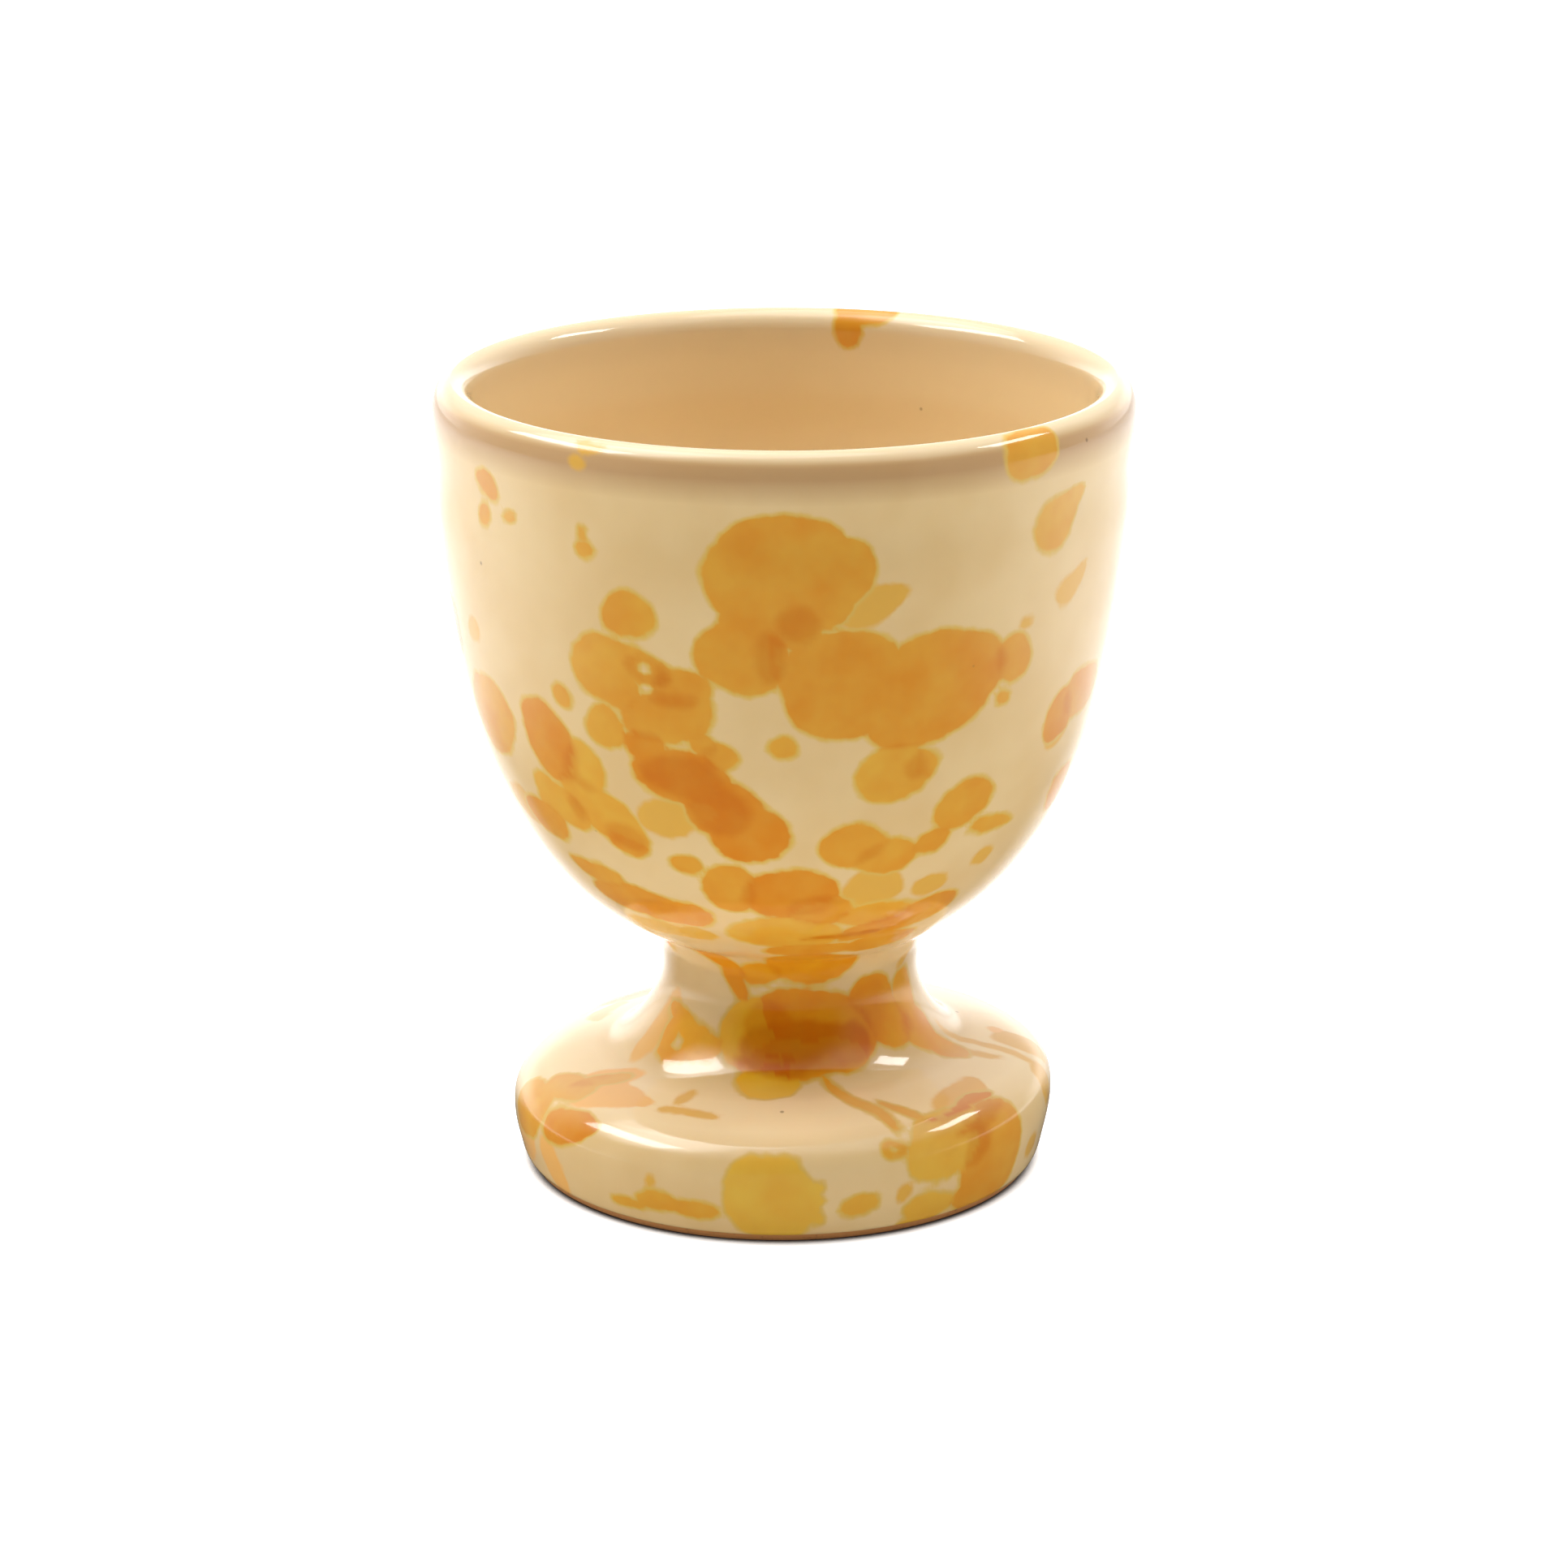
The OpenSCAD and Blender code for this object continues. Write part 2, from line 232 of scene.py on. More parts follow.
# The runs between which the dipped coat gives way to the poured one, and the hollow's painted light comes in
HOLLOW_LIT = (-0.5, -4)
# How strongly the thin glaze with its painted shade and the painted light and sheen on the foot's upper face show,
# and what the gathered amber lets through
THIN_SHADE_SHARE, SHEEN_SHARE, DEEP_TINT = 0.8, 0.16, (1.08, 1.02, 0.4, 1)
# Iron specks: how far apart their cells lie, the share of cells without one, and where in a cell one fades out
SPECK_APART, SPECK_NONE, SPECK_REACH = 2.6, 0.94, (0.03, 0.075)
GLAZE = "earthenware_glaze_cream_splashed_amber"

# How open the table is to the light where the contact's shade is full and where it ends
CONTACT_SHADE = (0.22, 0.62)
# How much light the table gives back, open to the light and where gloss shows it shaded
TABLE_PALE = (0.8, 0.15)
# Where gloss shows the table clear of the cup's shade, by metres from the axis and by how far back it lies, and
# where it comes out of the opening's dark
CLEAR_AWAY, CLEAR_BACK, CLEAR_FRONT = (0.045, 0.12), (0.4, 0.85), (-0.85, 0.25)
# How much light reaches the crease at the foot, and how open that is
CREASE_LIGHT, CREASE_OPEN = (0.1, 1.0), (0.2, 0.5)
# Parts of the tent, by how far up or back they lie as sines: the ceiling, the low side walls and how much they are
# dimmed, and the back wall over the table
CEILING_UP, LOW_UP, LOW_BACK, LOW_DIM = (0.5, 0.95), (0.78, 0.55), (0.65, 0.15), 0.75
WALL_UP, WALL_BACK = (0.3, 0.12), (0.5, 0.8)
# How much of the tent's light is missing in its opening, and how soft the opening's edge is, as cosines
OPENING_DARK, OPENING_EDGE = 0.94, (-0.14, 0.1)
# Azimuth and elevation of the glow round the left lamp, and the angles from there where it ends and is full
HALO_AT, HALO_ANGLES = (-92, 58), (27, 5)
# Lamps: name, azimuth, elevation, roll, distance and size, in degrees and metres
LAMPS = (
    ("soft_box_left", -95, 47, 16, 0.5, (0.34, 0.1)),
    ("soft_box_right", 102, 46, -10, 0.5, (0.2, 0.07)),
    ("soft_box_top", -148, 74, 0, 0.6, (0.36, 0.6)),
)
# Height over the table that the lamps are aimed at, in metres
AIM_HEIGHT = 0.03


def linear(hex_colour):
    """An sRGB hex colour as linear red, green, blue and alpha."""
    parts = [int(hex_colour[i:i + 2], 16) / 255 for i in (1, 3, 5)]
    return tuple(c / 12.92 if c <= 0.04045 else ((c + 0.055) / 1.055) ** 2.4 for c in parts) + (1.0,)


def put(tree, kind, inputs=None, **settings):
    """Adds a node of that kind to the tree; an input given as a socket is linked, and any other is set."""
    node = tree.nodes.new(kind)
    for name, value in settings.items():
        setattr(node, name, value)
    for name, value in (inputs or {}).items():
        if isinstance(value, bpy.types.NodeSocket):
            tree.links.new(value, node.inputs[name])
        else:
            node.inputs[name].default_value = value
    return node


def add(name, data):
    """A new object in the scene that holds that mesh, lamp or camera."""
    thing = bpy.data.objects.new(name, data)
    bpy.context.scene.collection.objects.link(thing)
    return thing


# The outline


def curve(points, step, least=6):
    """The points of a cubic curve with four handles, about `step` apart and at least `least` steps."""
    a, b, c, d = (np.array(p, float) for p in points)
    length = sum(np.linalg.norm(q - p) for p, q in ((a, b), (b, c), (c, d)))
    t = np.linspace(0, 1, max(least, math.ceil(length / step)) + 1)[:, None]
    return (1 - t) ** 3 * a + 3 * (1 - t) ** 2 * t * b + 3 * (1 - t) * t * t * c + t ** 3 * d


def quarter(start, end, flat_first):
    """The handles of a quarter round from start to end, level at its first or at its last end."""
    start, end = np.array(start, float), np.array(end, float)
    across, along = np.array([end[0] - start[0], 0]), np.array([0, end[1] - start[1]])
    first, last = (across, along) if flat_first else (along, across)
    return start, start + ROUND_SHARE * first, end - ROUND_SHARE * last, end


def joined(*stretches):
    """Stretches of points in one line, without their doubled ends."""
    line = [np.asarray(stretches[0], float)]
    for points in stretches[1:]:
        points = np.asarray(points, float)
        line.append(points[1:] if np.allclose(points[0], line[-1][-1]) else points)
    return np.vstack(line)


def clay_lines(step):
    """The clay's skin as radius and height: hollow, bowl's outside, stem with the foot, and hollow under it."""
    def aim(degrees):
        return np.array([math.sin(math.radians(degrees)), math.cos(math.radians(degrees))])

    down = np.array([0, -1])
    crest = np.array([RIM_D / 2 - LIP_OUT[0], CUP_H - GLAZE_T])
    widest = np.array([RIM_D / 2 - GLAZE_T, CUP_H - LIP_OUT[1]])
    mouth = np.array([crest[0] - LIP_IN[0] + GLAZE_T, CUP_H - LIP_IN[1]])
    neck = widest - np.array(BEAD)
    seam = np.array([SEAM_D / 2 - GLAZE_T, SEAM_Z])
    stem_top = seam - [0, SLIP_T]
    waist = np.array([WAIST_D / 2 - GLAZE_T, WAIST_Z])
    fillet = np.array([FILLET_D / 2, FILLET_Z]) - GLAZE_T * aim(FOOT_SLOPE)
    foot = np.array([FOOT_D / 2 - GLAZE_T, FOOT_Z])
    ring = np.array([RING_D / 2, 0])
    ring_in = ring - [RING_W, 0]
    floor = np.array([0, SEAM_Z + FLOOR_T])
    out_foot = np.array([aim(FOOT_SLOPE)[1], -aim(FOOT_SLOPE)[0]])
    down_wall, up_belly = -aim(WALL_SLOPE), aim(BELLY_SLOPE)
    wall_handle = neck + WALL_PULL * (neck[1] - seam[1]) * down_wall
    belly_handle = seam + BELLY_PULL * (neck[0] - seam[0]) * up_belly
    hollow = joined(
        curve((floor, (belly_handle[0] - WALL_T, floor[1]),
               (wall_handle[0] - WALL_T, mouth[1] - HOLLOW_PULL * (mouth[1] - floor[1])), mouth),
              step * HOLLOW_STEPS),
        curve(quarter(mouth, crest, False), step * LIP_STEPS))
    outside = joined(
        curve(quarter(crest, widest, True), step * LIP_STEPS),
        curve((widest, widest + BEAD_PULL * BEAD[1] * down, neck - BEAD_PULL * BEAD[1] * down_wall, neck), step),
        curve((neck, wall_handle, belly_handle, seam), step))
    drop = seam[1] - waist[1]
    stem = joined(
        curve((stem_top, stem_top + STEM_TOP * drop * down, waist - STEM_WAIST * drop * down, waist), step),
        curve((waist, waist + FILLET_DROP * (waist[1] - fillet[1]) * down,
               fillet - FILLET_OUT * (fillet[0] - waist[0]) * out_foot, fillet), step),
        curve((fillet, fillet + SHOULDER_OUT * (foot[0] - fillet[0]) * out_foot,
               foot - SHOULDER_UP * (fillet[1] - foot[1]) * down, foot), step),
        curve((foot, foot + EDGE_DOWN * foot[1] * down, ring + (EDGE_IN * (foot[0] - ring[0]), 0), ring), step))
    corner = quarter(ring_in, ring_in + HOLLOW_H * np.array([-CORNER_WIDE, 1]), False)
    under = joined([ring, ring_in], curve(corner, step), [[0, HOLLOW_H]])
    return hollow, outside, stem, under


def runs(line):
    """The way along a line of points, from its first."""
    return np.r_[0, np.cumsum(np.linalg.norm(np.diff(line, axis=0), axis=1))]


def glazed(line, thickness, first=None, last=None):
    """A line moved left of its way by the glaze's thickness; first and last are the directions at its ends."""
    way = np.gradient(line, axis=0)
    way /= np.linalg.norm(way, axis=1)[:, None]
    out = np.stack([-way[:, 1], way[:, 0]], 1)
    if first is not None:
        out[0] = first
    if last is not None:
        out[-1] = last
    return line + np.asarray(thickness).reshape(-1, 1) * out


def filled(line, centre, width, rounds=14):
    """A line whose points near the centre are drawn into a soft round, as glaze fills a crease."""
    line = line.copy()
    near = np.exp(-(np.linalg.norm(line - centre, axis=1) / width) ** 2)[1:-1, None]
    for _ in range(rounds):
        mean = (line[:-2] + line[2:]) / 2
        line[1:-1] += near * (mean - line[1:-1]) * 0.5
    return line


# Meshes


def turning_tree():
    """Geometry nodes that turn an outline round the axis: a potter's wheel."""
    tree = bpy.data.node_groups.new("potters_wheel", "GeometryNodeTree")

    def socket(name, kind, in_out="INPUT"):
        return tree.interface.new_socket(name, in_out=in_out, socket_type="NodeSocket" + kind)

    socket("Outline", "Geometry")
    steps, hub = socket("Steps Round", "Int"), socket("Hub Radius", "Float")
    steps.default_value, steps.min_value = 96, 12
    hub.default_value, hub.subtype = MM, "DISTANCE"
    socket("Material", "Material")
    socket("Turned", "Geometry", "OUTPUT")
    given = put(tree, "NodeGroupInput").outputs
    outline = put(tree, "GeometryNodeMeshToCurve", {"Mesh": given["Outline"]})
    wheel = put(tree, "GeometryNodeCurvePrimitiveCircle",
                {"Resolution": given["Steps Round"], "Radius": given["Hub Radius"]})
    turned = put(tree, "GeometryNodeCurveToMesh",
                 {"Curve": wheel.outputs["Curve"], "Profile Curve": outline.outputs["Curve"]})
    closed = put(tree, "GeometryNodeMergeByDistance",
                 {"Geometry": turned.outputs["Mesh"], "Distance": 0.002 * MM})
    real = put(tree, "GeometryNodeRealizeInstances", {"Geometry": closed.outputs["Geometry"]})
    dressed = put(tree, "GeometryNodeSetMaterial",
                  {"Geometry": real.outputs["Geometry"], "Material": given["Material"]})
    put(tree, "NodeGroupOutput", {"Turned": dressed.outputs["Geometry"]})
    return tree


def socket_id(tree, name):
    """The identifier of a tree's input, by its name."""
    return next(s.identifier for s in tree.interface.items_tree if s.name == name and s.in_out == "INPUT")


def turned_piece(name, outline, run, steps, material, ring_closed):
    """Turns an outline into a plain mesh that keeps the way along it as an attribute."""
    count = len(outline)
    edges = [(i, i + 1) for i in range(count - 1)] + ([(count - 1, 0)] if ring_closed else [])
    line = bpy.data.meshes.new(name + "_outline")
    line.from_pydata([(r * MM - MM, -z * MM, 0) for r, z in outline], edges, [])
    line.attributes.new("run", "FLOAT", "POINT").data.foreach_set("value", np.asarray(run, np.float32))
    maker = add(name + "_outline", line)
    tree = bpy.data.node_groups.get("potters_wheel") or turning_tree()
    wheel = maker.modifiers.new("Wheel", "NODES")
    wheel.node_group = tree
    wheel[socket_id(tree, "Steps Round")] = steps
    wheel[socket_id(tree, "Material")] = material
    seen = maker.evaluated_get(bpy.context.evaluated_depsgraph_get())
    mesh = bpy.data.meshes.new_from_object(seen)
    mesh.name = name
    maker.modifiers.remove(wheel)
    bpy.data.objects.remove(maker)
    bpy.data.meshes.remove(line)
    form = bmesh.new()
    form.from_mesh(mesh)
    bmesh.ops.recalc_face_normals(form, faces=form.faces)
    form.to_mesh(mesh)
    form.free()
    mesh.shade_smooth()
    mesh.set_sharp_from_angle(angle=SHARP_ANGLE)
    return mesh


def points_of(mesh):
    """A mesh's points in millimetres."""
    flat = np.zeros(len(mesh.vertices) * 3, np.float32)
    mesh.vertices.foreach_get("co", flat)
    return flat.reshape(-1, 3).astype(float) / MM


def steps_between(value, knots, heights):
    """Smooth steps through the heights at the knots."""
    knots, heights = np.asarray(knots, float), np.asarray(heights, float)
    value = np.clip(value, knots[0], knots[-1])
    at = np.clip(np.searchsorted(knots, value, side="right") - 1, 0, len(knots) - 2)
    t = (value - knots[at]) / (knots[at + 1] - knots[at])
    return heights[at] + (heights[at + 1] - heights[at]) * t * t * (3 - 2 * t)


def warp_by_hand(mesh, sizes):
    """Swells the wall, leans the axis and tilts the foot's upper face, as the hand left them."""
    p = points_of(mesh)
    x, z = p[:, 0].copy(), p[:, 2].copy()
    p[:, :2] *= 1 + sizes.lean * steps_between(z, SWELL_Z, SWELL)[:, None]
    p[:, 0] += sizes.lean * steps_between(z, LEAN_Z, LEAN_X)
    p[:, 2] += sizes.lean * TILT * x * steps_between(z, TILT_Z, (0, 1, 1, 0))
    mesh.vertices.foreach_set("co", (p * MM).astype(np.float32).ravel())
    mesh.update()


# The splashes


def waves(p, length, seed, count=9):
    """A smooth field between about -1 and 1 at points p, whose swells are about `length` mm long."""
    chance = np.random.default_rng(seed)
    total = np.zeros(len(p))
    for _ in range(count):
        way = chance.normal(size=3)
        way *= 2 * math.pi / (length * chance.uniform(0.7, 1.5)) / np.linalg.norm(way)
        total += np.sin(p @ way + chance.uniform(0, 2 * math.pi))
    return total / math.sqrt(count)


def chance_splashes():
    """Splashes on the side away from the photographed one, of the same sizes and as close together."""
    chance = np.random.default_rng(BACK_SEED)
    top, bottom = BACK_RUNS
    thrown = []
    for _ in range(BACK_SPLASHES):
        size = float(np.clip(chance.lognormal(0.6, 0.6), *BACK_SIZES))
        turn = chance.uniform(*BACK_TURNS)
        run = top + (bottom - top) * chance.uniform() ** BACK_CLOSER
        coats = float(chance.choice([0.5, 1, 1, 1, 2]))
        ovals = [(turn, run, size, size * chance.uniform(0.55, 1), chance.uniform(-40, 40))]
        if size > BACK_DOUBLED:
            ovals.append((turn + chance.uniform(-6, 6), run + chance.uniform(-2, 2), size * 0.7, size * 0.6))
        orange = chance.uniform(0.1, 0.9)
        if turn < BARE_TURN or run < BARE_RUN:
            thrown.append((coats, orange, *ovals))
    return tuple(thrown)


def oval_depth(oval, turn, run, radius):
    """How deep each point lies inside an oval, in millimetres; below 0 is outside."""
    at_turn, at_run, half_length, half_width, lean, taper = (*oval, 0, 0)[:6]
    away = (turn - at_turn + 180) % 360 - 180
    across, up = np.radians(away) * radius, at_run - run
    c, s = math.cos(math.radians(lean)), math.sin(math.radians(lean))
    u, v = across * c + up * s, up * c - across * s
    if taper:
        v = v / np.clip(1 - taper * u / half_length, 0.05, 2)
    q = np.sqrt((u / half_length) ** 2 + (v / half_width) ** 2)
    slope = np.sqrt((u / half_length ** 2) ** 2 + (v / half_width ** 2) ** 2)
    reach = np.where(slope > 1e-6, q / np.maximum(slope, 1e-6), min(half_length, half_width))
    return np.where(np.abs(away) < 90, (1 - q) * reach, FAR_OUT)


def splash(mesh, sizes):
    """Writes how deep each point lies in the three coats of amber and in the wash, and the tones there."""
    p = points_of(mesh)
    run = np.zeros(len(p), np.float32)
    mesh.attributes["run"].data.foreach_get("value", run)
    radius = np.hypot(p[:, 0], p[:, 1])

    def wander(seed):
        """How far from its place each point is taken to lie, so that the ovals' edges wander."""
        long, fine = waves(p, WANDER_LONG, seed), waves(p, WANDER_FINE, seed + 1)
        return sizes.edge_wander / MM * (long + FINE_SHARE * fine)

    turn = np.degrees(np.arctan2(p[:, 0], -p[:, 1]) + wander(1) / np.maximum(radius, LEAST_RADIUS))
    run = run + wander(3)
    *coats, wash, top, bare = (np.full(len(p), FAR_OUT) for _ in range(6))
    tone, wash_tone = np.full(len(p), PLAIN_TONE), np.zeros(len(p))
    for coat, orange, *ovals in SPLASHES + chance_splashes():
        depth = np.max([oval_depth(oval, turn, run, radius) for oval in ovals], axis=0)
        if coat == 0:
            bare = np.maximum(bare, depth)
        elif coat < 1:
            wash_tone = np.where(depth > wash, orange, wash_tone)
            wash = np.maximum(wash, depth)
        else:
            tone = np.where(depth > top, orange, tone)
            top = np.maximum(top, depth)
            for _ in range(int(coat)):
                rest = depth
                for i, kept in enumerate(coats):
                    coats[i], rest = np.maximum(kept, rest), np.minimum(kept, rest)
    coats = [np.minimum(c, -bare) for c in coats]
    names = ("coat_1", "coat_2", "coat_3", "wash", "tone", "wash_tone")
    for name, value in zip(names, (*coats, wash, tone, wash_tone)):
        kept = mesh.attributes.new(name, "FLOAT", "POINT")
        kept.data.foreach_set("value", np.clip(value, -2, 2).astype(np.float32))


def dress(context, node, material, line, run, splashed=False, ring_closed=False):
    """Turns an outline into the dressed piece that stands in place of a CAD node."""
    sizes, name = context.scene.egg_cup_sizes, node + "_dressed"
    steps = sizes.steps_round if splashed else sizes.clay_steps
    mesh = turned_piece(name, line, run, steps, material, ring_closed)
    if splashed:
        splash(mesh, sizes)
    warp_by_hand(mesh, sizes)
    piece = add(name, mesh)
    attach(piece, BODY)
    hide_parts(node)


# Materials


def new_material(name):
    """An empty node material, its tree, and the place on the piece by which its patterns are laid."""
    material = bpy.data.materials.new(name)
    material.use_nodes = True
    tree = material.node_tree
    tree.nodes.clear()
    return material, tree, put(tree, "ShaderNodeTexCoord").outputs["Object"]


def finish(tree, shader):
    """Leads a shader to the material's output."""
    put(tree, "ShaderNodeOutputMaterial", {"Surface": shader.outputs[0]})


def calc(tree, operation, *values):
    """The result of a math node."""
    return put(tree, "ShaderNodeMath", dict(enumerate(values)), operation=operation).outputs[0]


def times(tree, first, *others):
    """The product of values."""
    for value in others:
        first = calc(tree, "MULTIPLY", first, value)
    return first


def ramp(tree, value, low, high, to_low=0.0, to_high=1.0, kind="LINEAR"):
    """A value moved from low..high to to_low..to_high, and held at both ends."""
    return put(tree, "ShaderNodeMapRange",
               {"Value": value, "From Min": low, "From Max": high, "To Min": to_low, "To Max": to_high},
               interpolation_type=kind).outputs[0]


def ease(tree, *spans):
    """A ramp with soft ends."""
    return ramp(tree, *spans, kind="SMOOTHSTEP")


def mixed(tree, amount, first, second, blend_type="MIX"):
    """Two colours mixed by an amount; either may be a hex colour."""
    first, second = (linear(c) if isinstance(c, str) else c for c in (first, second))
    return put(tree, "ShaderNodeMix", {"Factor": amount, 6: first, 7: second}, data_type="RGBA",
               blend_type=blend_type).outputs[2]


def noise(tree, place, size_mm, detail=2.0):
    """Clouds whose swells are about that many millimetres long."""
    return put(tree, "ShaderNodeTexNoise", {"Vector": place, "Scale": 1 / (size_mm * MM), "Detail": detail}
               ).outputs["Fac"]


def bump(tree, height, strength, size_mm, normal=None):
    """A relief of that height, laid on the normal of another where one is given."""
    inputs = {"Height": height, "Strength": strength, "Distance": size_mm * MM}
    return put(tree, "ShaderNodeBump", inputs | ({"Normal": normal} if normal else {})).outputs[0]


def glaze_material(colours):
    """Lead-type earthenware glaze, dipped in cream and splashed with amber, fired glossy.

    It gives the eye a deep, wet gloss over a slightly uneven cream, and amber that darkens where splashes lap,
    each with a thin yellow edge where it ran thin.
    """
    material, tree, place = new_material(GLAZE)

    def attribute(name):
        return put(tree, "ShaderNodeAttribute", attribute_name=name).outputs["Fac"]

    run = attribute("run")
    # fine fraying of the splashes' edges, about 0.5 mm long
    frayed = ramp(tree, noise(tree, place, 0.5, 1), 0, 1, -FRAYING, FRAYING)

    def depth(name, low, high):
        """How far a splash has come up at its frayed edge."""
        return ease(tree, calc(tree, "ADD", attribute(name), frayed), low, high)

    def between(start, full, still, end):
        """1 from full to still on the way along the skin, and 0 before start and after end."""
        return times(tree, ramp(tree, run, start, full), ramp(tree, run, end, still))

    # clouds in the cream, about 7 mm long
    clouds = ramp(tree, noise(tree, place, 7), 0.35, 0.65)
    cream = mixed(tree, clouds, colours.cream, colours.cream_thick)
    # on the foot's upper face a lighter cream is painted, painted light where the face looks up to the lamps; over
    # the edge of the lip's outside the glaze breaks thin, and the darker cream there is partly painted shade
    lit_top = between(*LIT_FOOT_TOP)
    cream = mixed(tree, lit_top, cream, colours.cream_lit_top)
    cream = mixed(tree, times(tree, between(*THIN_AND_SHADED), THIN_SHADE_SHARE), cream, colours.cream_thin_shaded)
    # the hollow, which was filled and poured out, is painted paler and whiter than the dipped outside: painted
    # light, for the glare and the light thrown between its walls
    hollow_lit = ramp(tree, run, *HOLLOW_LIT)
    cream = mixed(tree, hollow_lit, cream, colours.cream_lining_lit)
    # on the lip the two coats lie over each other, thick, and the paler cream there is partly a painted sheen of the
    # light on the crest
    cream = mixed(tree, between(*LIP_LAP_AND_SHEEN), cream, colours.cream_lip_and_sheen)
    # each splash has its own tone, clouded over about 3 mm
    tone = ramp(tree, noise(tree, place, 3), 0.3, 0.7, -0.2, 0.2)
    tone = ramp(tree, calc(tree, "ADD", attribute("tone"), tone), -0.5, 1)
    amber = mixed(tree, tone, colours.amber_mustard, colours.amber_orange)
    # round the stem the amber gathers thick and deep
    amber = mixed(tree, between(*GATHERED), amber, DEEP_TINT, "MULTIPLY")
    warm = ease(tree, attribute("wash_tone"), 0.4, 0.8)
    washed = mixed(tree, warm, colours.wash, colours.wash_warm)
    colour = mixed(tree, depth("wash", *WASH_DEPTH), cream, washed)
    colour = mixed(tree, depth("coat_1", *EDGE_DEPTH), colour, colours.edge)
    colour = mixed(tree, depth("coat_1", *AMBER_DEPTH), colour, amber)
    for name in ("coat_2", "coat_3"):
        lap = mixed(tree, depth(name, *LAP_DEPTH), (1, 1, 1, 1), colours.lap_tint)
        colour = mixed(tree, 1.0, colour, lap, "MULTIPLY")
    # on the foot's upper face a whitish milk is laid over all, painted light and a painted sheen where the face
    # looks up to the lamps
    colour = mixed(tree, times(tree, lit_top, SHEEN_SHARE), colour, colours.painted_sheen)
    # iron specks of about 0.2 mm, in a few of the cells of a mesh
    cells = put(tree, "ShaderNodeTexVoronoi",
                {"Vector": place, "Scale": 1 / (SPECK_APART * MM), "Randomness": 1.0})
    speck = ramp(tree, cells.outputs["Distance"], *SPECK_REACH, 0.55, 0.0)
    chance = put(tree, "ShaderNodeSeparateColor", {0: cells.outputs["Color"]}).outputs[0]
    rare = calc(tree, "GREATER_THAN", chance, SPECK_NONE)
    colour = mixed(tree, times(tree, speck, rare), colour, colours.speck)
    # slow swells about 5 mm long, throwing rings about 1.6 mm apart, and the skin of the glaze
    swell = bump(tree, noise(tree, place, 5, 1), 0.35, 0.12)
    drawn_out = put(tree, "ShaderNodeVectorMath", {0: place, 1: (0.04, 0.04, 1)}, operation="MULTIPLY")
    thrown = bump(tree, noise(tree, drawn_out.outputs["Vector"], 1.6, 1), 0.3, 0.05, swell)
    skin = bump(tree, noise(tree, place, 0.9, 2), 0.12, 0.03, thrown)
    shader = put(tree, "ShaderNodeBsdfPrincipled", {
        "Base Color": colour, "Roughness": 0.08, "IOR": 1.52, "Normal": skin,
        "Subsurface Weight": 0.08, "Subsurface Radius": (1.2, 0.6, 0.25), "Subsurface Scale": 0.6 * MM})
    finish(tree, shader)
    return material


def clay_material(colours):
    """Buff earthenware, thrown and turned, left bare where the cup stands.

    It gives the eye a dry, matt ground with sandy grains and the fine rings of the turning tool.
    """
    material, tree, place = new_material("buff_earthenware_turned")
    # sand grains of about 0.35 mm in a body with clouds of about 6 mm
    grain = noise(tree, place, 0.35, 3.0)
    body = mixed(tree, noise(tree, place, 6), colours.clay, colours.clay_dark)
    body = mixed(tree, ramp(tree, grain, 0.62, 0.75, 0, 0.5), body, colours.speck)
    # rings of the turning tool, 0.8 mm apart; at scale 1 they lie 0.314 apart
    rings = put(tree, "ShaderNodeTexWave", {"Vector": place, "Scale": 0.314 / (0.8 * MM), "Distortion": 1.0},
                wave_type="RINGS", rings_direction="Z")
    relief = bump(tree, calc(tree, "ADD", rings.outputs["Fac"], grain), 0.5, 0.05)
    shader = put(tree, "ShaderNodeBsdfPrincipled",
                 {"Base Color": body, "Roughness": 0.85, "IOR": 1.5, "Normal": relief})
    finish(tree, shader)
    return material


def slip_material(colours):
    """Luting slip: the same clay, thinned with water and brushed on, so finer and a little darker."""
    material, tree, place = new_material("luting_slip_fired")
    body = mixed(tree, noise(tree, place, 1.5), colours.clay_dark, colours.clay)
    shader = put(tree, "ShaderNodeBsdfPrincipled", {"Base Color": body, "Roughness": 0.8, "IOR": 1.5})
    finish(tree, shader)
    return material


def seen_or_reflected(tree, ray, in_gloss=1.0):
    """1 for what the camera sees straight or through glass, in_gloss for what gloss shows, 0 for light."""
    gloss = times(tree, ray["Is Glossy Ray"], in_gloss)
    return calc(tree, "MAXIMUM", calc(tree, "MAXIMUM", ray["Is Camera Ray"], gloss), ray["Is Transmission Ray"])


